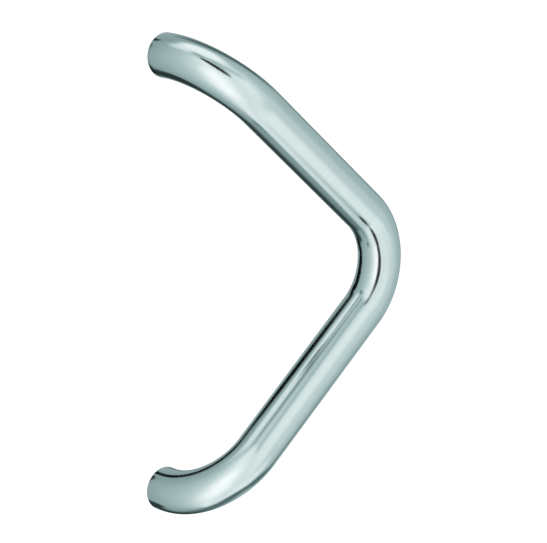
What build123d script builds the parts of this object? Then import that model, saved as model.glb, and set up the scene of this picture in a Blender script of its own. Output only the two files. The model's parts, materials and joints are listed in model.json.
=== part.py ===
from build123d import *
import os
from math import radians, tan

# Cabinet door handle, bent from one round stainless bar. Two square-cut feet stand on the door.
# Each foot bends over into a leg, and the two legs meet in a V that stands clear of the door,
# off to one side of the fixings.
#
# All sizes are millimetres and degrees. The door's face is the plane Y = 0, and the handle stands
# in front of it, towards -Y. +Z is up, and +X points from the feet to the apex of the V.
# The origin lies on the door's face, midway between the two fixing holes.

# Bar and bends
bar_diameter = 16.0
hole_spacing = 160.0  # five steps of the 32 mm grid that cabinets are drilled to
foot_straight = 3.0  # from the door's face to the start of the foot's bend
foot_bend_radius = 26.0  # at the bar's centre line
apex_bend_radius = 25.0  # at the bar's centre line
v_angle = 81.0  # between the two legs

# Feet, with a blind hole for an M4 screw in each
foot_edge_radius = 0.5
tapping_drill_diameter = 3.3
drilled_depth = 12.0  # from the foot's face to the drill's full width
drill_point_angle = 118.0
hole_chamfer = 0.45  # widens the mouth of the hole by this much all round
hole_chamfer_angle = 90.0

# Sizes that follow from these
bar_radius = bar_diameter / 2
half_spacing = hole_spacing / 2
standoff = foot_straight + foot_bend_radius
apex_corner = half_spacing / tan(radians(v_angle / 2))
drill_radius = tapping_drill_diameter / 2
drill_point_height = drill_radius / tan(radians(drill_point_angle / 2))
hole_mouth_radius = drill_radius + hole_chamfer

# Corners of the bar's centre line, from the upper foot to the lower one
corners = [
    (0, 0, half_spacing),
    (0, -standoff, half_spacing),
    (apex_corner, -standoff, 0),
    (0, -standoff, -half_spacing),
    (0, 0, -half_spacing),
]
bend_radii = [foot_bend_radius, apex_bend_radius, foot_bend_radius]

# Planes on the two feet, looking out of the handle into the door
foot_faces = [Plane(origin=foot, z_dir=(0, 1, 0)) for foot in (corners[0], corners[-1])]
drill_ends = [face.offset(-drilled_depth) for face in foot_faces]

with BuildPart() as handle_bar:
    # The bent bar
    with BuildLine() as centre_line:
        FilletPolyline(*corners, radius=bend_radii)
    with BuildSketch(Plane(origin=centre_line.line @ 0, z_dir=centre_line.line % 0)):
        Circle(bar_radius)
    sweep()

    # The rim of each foot, rounded over
    feet = handle_bar.faces().group_by(Axis.Y)[-1]
    fillet(feet.edges(), foot_edge_radius)

    # The fixing holes, drilled for tapping and chamfered at the mouth
    with Locations(*foot_faces):
        CounterSinkHole(drill_radius, hole_mouth_radius, drilled_depth, hole_chamfer_angle)

    # The cone that the drill's point leaves at the bottom of each hole
    with Locations(*drill_ends):
        Cone(
            bottom_radius=0,
            top_radius=drill_radius,
            height=drill_point_height,
            align=(Align.CENTER, Align.CENTER, Align.MAX),
            mode=Mode.SUBTRACT,
        )

handle_bar.part.label = "handle_bar"

os.makedirs("parts", exist_ok=True)
export_step(handle_bar.part, "parts/handle_bar.step")
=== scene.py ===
import bmesh
import bpy
import json
import math
from mathutils import Matrix, Vector


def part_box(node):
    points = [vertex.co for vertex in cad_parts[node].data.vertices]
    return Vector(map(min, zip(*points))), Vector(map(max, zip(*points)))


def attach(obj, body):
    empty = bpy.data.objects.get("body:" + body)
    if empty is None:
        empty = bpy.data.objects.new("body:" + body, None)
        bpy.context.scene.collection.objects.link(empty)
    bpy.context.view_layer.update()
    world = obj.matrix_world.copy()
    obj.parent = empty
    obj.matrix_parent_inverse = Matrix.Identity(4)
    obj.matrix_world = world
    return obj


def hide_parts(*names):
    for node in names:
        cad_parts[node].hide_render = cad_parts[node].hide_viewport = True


# Cabinet door handle in satin stainless steel, set in a white studio.
# Lengths are metres and angles are degrees, unless a comment says otherwise.
# The door's face is Y = 0 and the handle stands towards -Y.

MM = 0.001
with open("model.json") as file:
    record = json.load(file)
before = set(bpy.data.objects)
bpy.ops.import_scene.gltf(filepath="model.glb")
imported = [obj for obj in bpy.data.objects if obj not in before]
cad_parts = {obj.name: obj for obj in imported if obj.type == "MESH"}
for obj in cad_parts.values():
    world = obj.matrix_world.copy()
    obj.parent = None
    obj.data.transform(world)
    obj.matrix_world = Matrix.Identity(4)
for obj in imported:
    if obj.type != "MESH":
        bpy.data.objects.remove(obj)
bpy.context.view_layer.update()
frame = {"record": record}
mounts = {mount["name"]: mount for mount in frame["record"]["mounts"]}

# Sizes read from the frame
NODE = "handle_bar"
HOLE_SPACING = mounts["fixing_holes"]["dims"]["spacing_y_mm"] * MM
DRILL_RADIUS = mounts["upper_tapped_hole"]["dims"]["r_mm"] * MM
bar_low, bar_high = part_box(NODE)
BAR_RADIUS = bar_high.z - HOLE_SPACING / 2
STANDOFF = -bar_low.y - BAR_RADIUS

# Sizes of the bends, the feet and the fixing holes
V_ANGLE = 81.0
FOOT_STRAIGHT = 3.0 * MM
FOOT_BEND_RADIUS = STANDOFF - FOOT_STRAIGHT
APEX_BEND_RADIUS = 25.0 * MM
FOOT_EDGE_RADIUS = 0.5 * MM
DRILLED_DEPTH = 12.0 * MM
DRILL_POINT_ANGLE = 118.0
HOLE_CHAMFER = 0.45 * MM

# M4 thread, cut into the drilled hole
THREAD_PITCH = 0.7 * MM
THREAD_MAJOR_RADIUS = 2.0 * MM
THREAD_LENGTH = 10.0 * MM
THREAD_RUN_OUT = 1.4 * MM
THREAD_CREST = 1 / 4
THREAD_ROOT = 1 / 8

# Fineness of the mesh
SIDES = 80
BEND_STEP = 1.25
RUN_STEP = 4.0 * MM
RIM_STEPS = 8
RINGS_PER_PITCH = 10
FACE_SHARES = (0.02, 0.25, 0.5, 0.75, 0.98, 1.0)  # rings on a foot's face, from its rim to its hole
SHARP_ANGLE = 35.0
RING_ANGLES = [math.tau * k / SIDES for k in range(SIDES)]  # radians


# The bar's centre line

class Station:
    """A place on the bar's centre line: its point, its direction, one way across and the distance run."""

    def __init__(self, point, along, across, travel):
        self.point = point
        self.along = along
        self.across = across
        self.travel = travel

    def ring_point(self, radius, angle, advance):
        side = self.along.cross(self.across)
        out = self.across * math.cos(angle) + side * math.sin(angle)
        return self.point + self.along * advance + out * radius


def run(stations, length):
    """Carries the centre line straight on."""
    start = stations[-1]
    steps = max(1, math.ceil(length / RUN_STEP))
    for step in range(1, steps + 1):
        gone = length * step / steps
        point = start.point + start.along * gone
        stations.append(Station(point, start.along, start.across, start.travel + gone))


def bend(stations, towards, turn, radius):
    """Carries the centre line round an arc, in the plane of its direction and the one it bends towards."""
    start = stations[-1]
    centre = start.point + towards * radius
    axis = start.along.cross(towards)
    # An even number, so that one ring lies on the middle of the bend
    steps = 2 * math.ceil(turn / BEND_STEP / 2)
    for step in range(1, steps + 1):
        angle = math.radians(turn * step / steps)
        spin = Matrix.Rotation(angle, 3, axis)
        point = centre + spin @ (start.point - centre)
        travel = start.travel + radius * angle
        stations.append(Station(point, spin @ start.along, spin @ start.across, travel))


def centre_line():
    """The stations of the whole bar, from the rim of the upper foot to the rim of the lower one."""
    half_angle = math.radians(V_ANGLE / 2)
    apex_turn = 180.0 - V_ANGLE
    upper_leg = Vector((math.cos(half_angle), 0, -math.sin(half_angle)))
    inward = Vector((-math.sin(half_angle), 0, -math.cos(half_angle)))
    into_door = Vector((0, 1, 0))
    corner_to_corner = HOLE_SPACING / 2 / math.sin(half_angle)
    apex_tangent = APEX_BEND_RADIUS * math.tan(math.radians(apex_turn / 2))
    leg_length = corner_to_corner - FOOT_BEND_RADIUS - apex_tangent
    foot_run = FOOT_STRAIGHT - FOOT_EDGE_RADIUS
    start = Vector((0, -FOOT_EDGE_RADIUS, HOLE_SPACING / 2))
    stations = [Station(start, -into_door, upper_leg, 0.0)]
    run(stations, foot_run)
    bend(stations, upper_leg, 90.0, FOOT_BEND_RADIUS)
    run(stations, leg_length)
    bend(stations, inward, apex_turn, APEX_BEND_RADIUS)
    run(stations, leg_length)
    bend(stations, into_door, 90.0, FOOT_BEND_RADIUS)
    run(stations, foot_run)
    return stations


# The feet and their tapped holes

def thread_depth(turns):
    """The depth of the thread's groove, 0 at its crest and 1 at its root, at a number of turns along it."""
    flank = (1 - THREAD_CREST - THREAD_ROOT) / 2
    from_crest = abs((turns + 0.5) % 1.0 - 0.5) - THREAD_CREST / 2
    return min(max(from_crest / flank, 0.0), 1.0)


def hole_radius(depth, angle, outwards):
    """The radius of a fixing hole: its chamfered mouth, its thread and the drilled wall."""
    mouth = DRILL_RADIUS + HOLE_CHAMFER - depth
    fade = min(max((THREAD_LENGTH - depth) / THREAD_RUN_OUT, 0.0), 1.0)
    groove = (THREAD_MAJOR_RADIUS - DRILL_RADIUS) * fade
    turns = depth / THREAD_PITCH + outwards * angle / math.tau
    return max(mouth, DRILL_RADIUS + groove * thread_depth(turns))


def foot_rings(outwards):
    """The rings of one foot, from its rim to the bottom of its hole.

    Each is its height over the foot's face, its radius at each angle and how much its edge is worn.
    Outwards is 1 where the centre line runs out of the foot and -1 where it runs in.
    """
    rings = []
    flat_radius = BAR_RADIUS - FOOT_EDGE_RADIUS
    for step in range(1, RIM_STEPS + 1):
        angle = math.radians(90.0 * step / RIM_STEPS)
        radius = flat_radius + FOOT_EDGE_RADIUS * math.cos(angle)
        rings.append((FOOT_EDGE_RADIUS * (math.sin(angle) - 1), [radius] * SIDES, math.sin(2 * angle)))
    mouth_radius = DRILL_RADIUS + HOLE_CHAMFER
    for share in FACE_SHARES:
        radius = flat_radius + (mouth_radius - flat_radius) * share
        rings.append((0.0, [radius] * SIDES, 0.0))
    steps = math.ceil(THREAD_LENGTH / THREAD_PITCH * RINGS_PER_PITCH)
    for step in range(1, steps + 1):
        depth = THREAD_LENGTH * step / steps
        rings.append((-depth, [hole_radius(depth, angle, outwards) for angle in RING_ANGLES], 0.0))
    rings.append((-DRILLED_DEPTH, [DRILL_RADIUS] * SIDES, 0.0))
    return rings


# The bar's mesh

class Skin:
    """The bar's surface, as rings of points in order along it, with the finish's own coordinates."""

    def __init__(self):
        self.points = []
        self.grain = []
        self.wear = []
        self.faces = []

    def add_point(self, point, travel, angle, wear):
        self.points.append(point)
        self.grain.append((travel, BAR_RADIUS * math.cos(angle), BAR_RADIUS * math.sin(angle)))
        self.wear.append(wear)

    def add_ring(self, station, advance, radii, travel, wear):
        """Adds a ring, with faces back to the ring before it or, for the first ring, to the tip."""
        first = len(self.points)
        for angle, radius in zip(RING_ANGLES, radii):
            self.add_point(station.ring_point(radius, angle, advance), travel, angle, wear)
        for k in range(SIDES):
            after = (k + 1) % SIDES
            if first == 1:
                self.faces.append((0, first + after, first + k))
            else:
                before = first - SIDES
                self.faces.append((before + k, before + after, first + after, first + k))

    def close(self, point, travel):
        """Closes the surface with a tip over the last ring."""
        first = len(self.points) - SIDES
        tip = len(self.points)
        self.add_point(point, travel, 0.0, 0.0)
        for k in range(SIDES):
            self.faces.append((first + k, first + (k + 1) % SIDES, tip))


def surface_distances(rings):
    """How far each ring of a foot lies from the start of its rim, measured along the surface."""
    distances = []
    gone = 0.0
    last_height = -FOOT_EDGE_RADIUS
    last_radius = BAR_RADIUS
    for height, radii, wear in rings:
        gone += math.hypot(height - last_height, radii[0] - last_radius)
        distances.append(gone)
        last_height = height
        last_radius = radii[0]
    return distances


def add_foot(skin, station, outwards):
    """Adds one foot's rings, in their order along the centre line."""
    rings = foot_rings(outwards)
    placed = list(zip(rings, surface_distances(rings)))
    for (height, radii, wear), distance in placed[::outwards]:
        advance = outwards * (height + FOOT_EDGE_RADIUS)
        skin.add_ring(station, advance, radii, station.travel + outwards * distance, wear)


def make_bar():
    """The whole handle as one closed mesh, from the bottom of the upper hole to that of the lower one."""
    skin = Skin()
    stations = centre_line()
    point_depth = DRILLED_DEPTH + DRILL_RADIUS / math.tan(math.radians(DRILL_POINT_ANGLE / 2))
    tip_advance = point_depth - FOOT_EDGE_RADIUS
    first, last = stations[0], stations[-1]
    skin.add_point(first.point + first.along * tip_advance, first.travel, 0.0, 0.0)
    add_foot(skin, first, -1)
    for station in stations:
        skin.add_ring(station, 0.0, [BAR_RADIUS] * SIDES, station.travel, 0.0)
    add_foot(skin, last, 1)
    skin.close(last.point - last.along * tip_advance, last.travel)

    data = bpy.data.meshes.new("satin_bar")
    data.from_pydata(skin.points, [], skin.faces)
    grain = data.attributes.new("grain", "FLOAT_VECTOR", "POINT")
    grain.data.foreach_set("vector", [value for place in skin.grain for value in place])
    wear = data.attributes.new("wear", "FLOAT", "POINT")
    wear.data.foreach_set("value", skin.wear)
    data.shade_smooth()
    data.set_sharp_from_angle(angle=math.radians(SHARP_ANGLE))
    bar = bpy.data.objects.new("satin_bar", data)
    bpy.context.scene.collection.objects.link(bar)
    return bar


# The steel: polished round the bar in fine lines, with faint streaks and smudges, and brighter worn rims

STEEL_DARK = (0.59, 0.67, 0.67, 1)
STEEL_LIGHT = (0.61, 0.69, 0.69, 1)
STEEL_WORN = (0.68, 0.75, 0.75, 1)
ROUGHNESS_LOW = 0.10
ROUGHNESS_HIGH = 0.16
SMUDGE_ROUGHNESS = 0.03
WORN_ROUGHNESS = 0.08
LINE_HEIGHT = 0.6e-6

# The patterns of the finish: waves per metre along the bar and in the two directions across it
LINE_WAVES = (7000, 90, 90)
STREAK_WAVES = (700, 40, 40)
SMUDGE_WAVES = (45, 70, 70)

# The part of a pattern's range that is spread over the whole change of colour or roughness
PATTERN_LOW = 0.3
PATTERN_HIGH = 0.7
SMUDGE_LOW = 0.45


class Nodes:
    """Short ways to add and link the nodes of one material."""

    def __init__(self, material):
        material.use_nodes = True
        self.tree = material.node_tree

    def add(self, kind, **inputs):
        node = self.tree.nodes.new("ShaderNode" + kind)
        for name, value in inputs.items():
            self.feed(node.inputs[name], value)
        return node

    def feed(self, socket, value):
        if isinstance(value, bpy.types.NodeSocket):
            self.tree.links.new(value, socket)
        else:
            socket.default_value = value

    def attribute(self, name, output):
        node = self.add("Attribute")
        node.attribute_name = name
        return node.outputs[output]

    def noise(self, place, stretch, detail):
        """Noise between 0 and 1, with a number of waves per metre along each of the place's axes."""
        scaled = self.add("VectorMath")
        scaled.operation = "MULTIPLY"
        self.feed(scaled.inputs[0], place)
        self.feed(scaled.inputs[1], stretch)
        return self.add("TexNoise", Vector=scaled.outputs[0], Scale=1.0, Detail=detail).outputs["Fac"]

    def between(self, share, low, high, start=0.0, end=1.0):
        """Low where the share is at its start, high where it is at its end."""
        node = self.add("MapRange", Value=share)
        for name, value in {"From Min": start, "From Max": end, "To Min": low, "To Max": high}.items():
            self.feed(node.inputs[name], value)
        return node.outputs["Result"]

    def mix_colour(self, share, low, high):
        node = self.add("MixRGB", Fac=share, Color1=low, Color2=high)
        return node.outputs["Color"]


def make_steel():
    material = bpy.data.materials.new("satin_steel")
    nodes = Nodes(material)
    shader = nodes.tree.nodes["Principled BSDF"]
    grain = nodes.attribute("grain", "Vector")
    wear = nodes.attribute("wear", "Fac")
    lines = nodes.noise(grain, LINE_WAVES, detail=2.0)
    streaks = nodes.noise(grain, STREAK_WAVES, detail=3.0)
    smudges = nodes.noise(grain, SMUDGE_WAVES, detail=3.0)

    streak_share = nodes.between(streaks, 0.0, 1.0, PATTERN_LOW, PATTERN_HIGH)
    colour = nodes.mix_colour(streak_share, STEEL_DARK, STEEL_LIGHT)
    nodes.feed(shader.inputs["Base Color"], nodes.mix_colour(wear, colour, STEEL_WORN))

    ground = nodes.between(lines, ROUGHNESS_LOW, ROUGHNESS_HIGH, PATTERN_LOW, PATTERN_HIGH)
    smudge = nodes.between(smudges, 0.0, SMUDGE_ROUGHNESS, SMUDGE_LOW, PATTERN_HIGH)
    smudged = nodes.add("Math")
    nodes.feed(smudged.inputs[0], ground)
    nodes.feed(smudged.inputs[1], smudge)
    nodes.feed(shader.inputs["Roughness"], nodes.between(wear, smudged.outputs[0], WORN_ROUGHNESS))

    bump = nodes.add("Bump", Height=lines, Distance=LINE_HEIGHT)
    nodes.feed(shader.inputs["Normal"], bump.outputs["Normal"])
    shader.inputs["Metallic"].default_value = 1.0
    return material


bar = make_bar()
bar.data.materials.append(make_steel())
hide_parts(NODE)
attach(bar, "root")

# The camera, at the photograph's place
PHOTO_WIDTH = 547
SENSOR_WIDTH = 36.0  # millimetres
CLIP_START = 0.01
FOCAL_LENGTH_PIXELS = 2466.2
VIEW_AZIMUTH = -42.705
VIEW_ELEVATION = 13.917
VIEW_ROLL = 0.784
VIEW_DISTANCE = 0.8811
VIEW_TARGET = Vector((0.02677, -0.029, 0.00294))


def direction(azimuth, elevation):
    """The way from the handle to a place in the studio. Azimuth 0 is towards -Y and 90 towards +X."""
    turn = math.radians(azimuth)
    rise = math.radians(elevation)
    return Vector((
        math.sin(turn) * math.cos(rise),
        -math.cos(turn) * math.cos(rise),
        math.sin(rise),
    ))


def make_camera():
    back = direction(VIEW_AZIMUTH, VIEW_ELEVATION)
    roll = math.radians(VIEW_ROLL)
    level = (-back).cross(Vector((0, 0, 1))).normalized()
    upright = level.cross(-back)
    right = level * math.cos(roll) + upright * math.sin(roll)
    up = upright * math.cos(roll) - level * math.sin(roll)
    data = bpy.data.cameras.new("photo_camera")
    data.sensor_width = SENSOR_WIDTH
    data.lens = SENSOR_WIDTH * FOCAL_LENGTH_PIXELS / PHOTO_WIDTH
    data.clip_start = CLIP_START
    camera = bpy.data.objects.new("photo_camera", data)
    turned = Matrix((right, up, back)).transposed().to_4x4()
    camera.matrix_world = Matrix.Translation(VIEW_TARGET + back * VIEW_DISTANCE) @ turned
    bpy.context.scene.collection.objects.link(camera)
    bpy.context.scene.camera = camera


make_camera()

# The studio: a cloth tent round the handle that glows with unevenly painted light and shade. Brighter
# softboxes and dark flags are painted into its glow.
# The tent lights the floor and shows in the metal. The camera sees past it, to the floor and the white world.

TENT_RADIUS = 5.0
TENT_STEP = 2
ROUND_SEGMENTS = 96
BEAD_SUBDIVISIONS = 4

# The cloth's brightness at each azimuth
CLOTH = {
    -180: 0.46,
    -135: 0.57,
    -100: 0.77,
    -57: 1.22,
    -20: 1.08,
    10: 1.17,
    45: 0.78,
    75: 0.66,
    130: 0.55,
    180: 0.46,
}

# The red in the cloth's colour, as a share of its green and blue: in the dark, and what a unit of light adds
CLOTH_RED_DARK = 0.64
CLOTH_RED_GAIN = 0.29

# Softboxes are strips of painted light on the tent. The darker gaps between them and the flags are strips of
# painted shade, each a round-ended strip on the tent.
# Each has its ends by azimuth and elevation, its half width, the softness of its edge and its brightness.
PANELS = {
    "front_softbox": ((-53, -26), (-53, 7), 16, 31, 1.45),
    "right_softbox": ((23, -19), (45, 0), 12, 36, 0.9),
    "top_softbox": ((0, 90), (0, 90), 24, 14, 1.3),
    "left_softbox": ((-136, 62), (-100, 70), 9, 16, 1.12),
    "gap_under_top": ((-78, 63), (11, 44), 7, 15, 0.69),
    "gap_left_edge": ((-80, 69), (-59, 66), 3, 6, 0.35),
    "gap_right_edge": ((-26, 59), (-18, 39), 2, 13, 0.43),
    "low_right_softbox": ((11, -55), (28, -28), 8, 24, 1.2),
    "back_low_flag": ((-184, -43), (-164, -48), 6, 6, 0.02),
    "side_flag": ((115, 27), (123, 35), 15, 16, 0.15),
    "floor_flag": ((47, -66), (143, -61), 13, 10, 0.2),
    "floor_edge_flag": ((60, -50), (88, -40), 10, 12, 0.2),
    "rear_flag": ((150, -45), (175, -39), 15, 18, 0.05),
    "behind_flag": ((127, -5), (139, -13), 18, 14, 0.25),
}

# Oval black cards behind the handle, which draw dark lines inside the apex and along the lower leg.
# Each has its place, its width, its height and how far its top leans towards +X.
CARDS = {
    "leg_card": (Vector((0.02, 0.39, 0.26)), 0.115, 0.42, -19),
    "apex_card": (Vector((-0.26, 0.9, 0.02)), 0.6, 1.3, -7),
    "low_card": (Vector((-0.03, 1.04, -0.59)), 0.82, 0.38, 0),
}

# Two dark beads close to the metal: a round one, which the hollow side of the apex draws out into a
# thin line, and a long one, which leaves a streak on the upper foot.
# Each has its place, the way from there to its tip and its radius, in millimetres.
BEADS = {
    "apex_bead": (Vector((67, -43, -3.3)), Vector((0, 0, 2.3)), 2.3),
    "foot_bead": (Vector((-7.6, -37.4, 92.9)), Vector((5.3, -11.6, -7.5)), 2.8),
}

# The floor, well below the handle. Its own glow and the light that falls on it together show white.
FLOOR_LEVEL = -0.3
FLOOR_RADIUS = 4.5
FLOOR_COLOUR = (0.3, 0.3, 0.3, 1)
FLOOR_GLOW = 0.9

BLACK = (0, 0, 0, 1)
WHITE = (1, 1, 1, 1)


def smooth(share):
    share = min(max(share, 0.0), 1.0)
    return share * share * (3 - 2 * share)


def cloth_light(azimuth):
    """The tent's own brightness, read between the stops."""
    stops = sorted(CLOTH)
    for left, right in zip(stops, stops[1:]):
        if azimuth <= right:
            share = (azimuth - left) / (right - left)
            return CLOTH[left] + (CLOTH[right] - CLOTH[left]) * share


def panel_share(way, ends, half_width, softness):
    """1 inside a panel and 0 outside it, with a smooth change at its edge."""
    start = direction(*ends[0])
    length = direction(*ends[1]) - start
    place = start
    if length.length > 0:
        share = (way - start).dot(length) / length.length_squared
        place = start + length * min(max(share, 0.0), 1.0)
    distance = math.degrees(way.angle(place))
    return smooth((half_width - distance) / softness + 0.5)


def tent_light(azimuth, elevation):
    """The brightness that the metal mirrors in one direction."""
    way = direction(azimuth, elevation)
    light = cloth_light(azimuth)
    for start, end, half_width, softness, brightness in PANELS.values():
        light += (brightness - light) * panel_share(way, (start, end), half_width, softness)
    return light


# The tent's colour carries painted light and painted shade.
def cloth_colour(light):
    """Shaded cloth looks cooler than lit cloth."""
    red = light * (CLOTH_RED_DARK + CLOTH_RED_GAIN * light)
    return red, light, light, 1.0


def glow(name, colour):
    """A material that shines evenly with one colour, or with a colour from the mesh."""
    material = bpy.data.materials.new(name)
    nodes = Nodes(material)
    nodes.tree.nodes.clear()
    light = nodes.add("Emission")
    if isinstance(colour, str):
        colour = nodes.attribute(colour, "Color")
    nodes.feed(light.inputs["Color"], colour)
    nodes.add("OutputMaterial", Surface=light.outputs["Emission"])
    return material


def stage_object(name, data, material):
    """Sets up a piece of the studio."""
    item = bpy.data.objects.new(name, data)
    bpy.context.scene.collection.objects.link(item)
    data.materials.append(material)
    return item


def stage_shape(name, shape, material):
    """Sets up a piece of the studio from the shape it was modelled in."""
    data = bpy.data.meshes.new(name)
    shape.to_mesh(data)
    shape.free()
    return stage_object(name, data, material)


def show_only_in_metal(item):
    """Hides a piece of the studio from the camera and leaves no shade of it on the floor."""
    item.visible_camera = False
    item.visible_diffuse = False
    item.visible_shadow = False


def make_tent():
    points = []
    colours = []
    faces = []
    azimuths = range(-180, 180, TENT_STEP)
    elevations = range(-90, 91, TENT_STEP)
    for elevation in elevations:
        for azimuth in azimuths:
            points.append(direction(azimuth, elevation) * TENT_RADIUS)
            colours.extend(cloth_colour(tent_light(azimuth, elevation)))
    around = len(azimuths)
    for low in range(0, around * (len(elevations) - 1), around):
        for k in range(around):
            after = (k + 1) % around
            faces.append((low + k, low + after, low + around + after, low + around + k))
    data = bpy.data.meshes.new("tent")
    data.from_pydata(points, [], faces)
    paint = data.color_attributes.new("light", "FLOAT_COLOR", "POINT")
    paint.data.foreach_set("color", colours)
    tent = stage_object("tent", data, glow("tent", "light"))
    tent.visible_camera = False


make_tent()


def make_card(name, place, width, height, lean):
    shape = bmesh.new()
    bmesh.ops.create_circle(shape, cap_ends=True, segments=ROUND_SEGMENTS, radius=0.5)
    bmesh.ops.rotate(shape, verts=shape.verts, matrix=Matrix.Rotation(math.pi / 2, 3, "X"))
    bmesh.ops.scale(shape, verts=shape.verts, vec=(width, 1, height))
    bmesh.ops.rotate(shape, verts=shape.verts, matrix=Matrix.Rotation(math.radians(lean), 3, "Y"))
    bmesh.ops.translate(shape, verts=shape.verts, vec=place)
    show_only_in_metal(stage_shape(name, shape, glow(name, BLACK)))


for name, (place, width, height, lean) in CARDS.items():
    make_card(name, place, width, height, lean)


def make_bead(name, place, tip, radius):
    turn = Vector((0, 0, 1)).rotation_difference(tip).to_matrix()
    shape = bmesh.new()
    bmesh.ops.create_icosphere(shape, subdivisions=BEAD_SUBDIVISIONS, radius=radius * MM)
    bmesh.ops.scale(shape, verts=shape.verts, vec=(1, 1, tip.length / radius))
    bmesh.ops.rotate(shape, verts=shape.verts, matrix=turn)
    bmesh.ops.translate(shape, verts=shape.verts, vec=place * MM)
    show_only_in_metal(stage_shape(name, shape, glow(name, BLACK)))


for name, (place, tip, radius) in BEADS.items():
    make_bead(name, place, tip, radius)


def make_floor():
    """A pale floor that looks white. The tent's lower half stands for it in the metal."""
    shape = bmesh.new()
    bmesh.ops.create_circle(shape, cap_ends=True, segments=ROUND_SEGMENTS, radius=FLOOR_RADIUS)
    bmesh.ops.translate(shape, verts=shape.verts, vec=(0, 0, FLOOR_LEVEL))
    material = bpy.data.materials.new("pale_floor")
    nodes = Nodes(material)
    shader = nodes.tree.nodes["Principled BSDF"]
    shader.inputs["Base Color"].default_value = FLOOR_COLOUR
    shader.inputs["Roughness"].default_value = 1.0
    shader.inputs["Specular IOR Level"].default_value = 0.0
    shader.inputs["Emission Color"].default_value = WHITE
    shader.inputs["Emission Strength"].default_value = FLOOR_GLOW
    floor = stage_shape("floor", shape, material)
    floor.visible_glossy = False


make_floor()

world = bpy.data.worlds.new("studio")
bpy.context.scene.world = world
world.use_nodes = True
world.node_tree.nodes["Background"].inputs["Color"].default_value = WHITE
bpy.context.scene.view_settings.view_transform = "Standard"
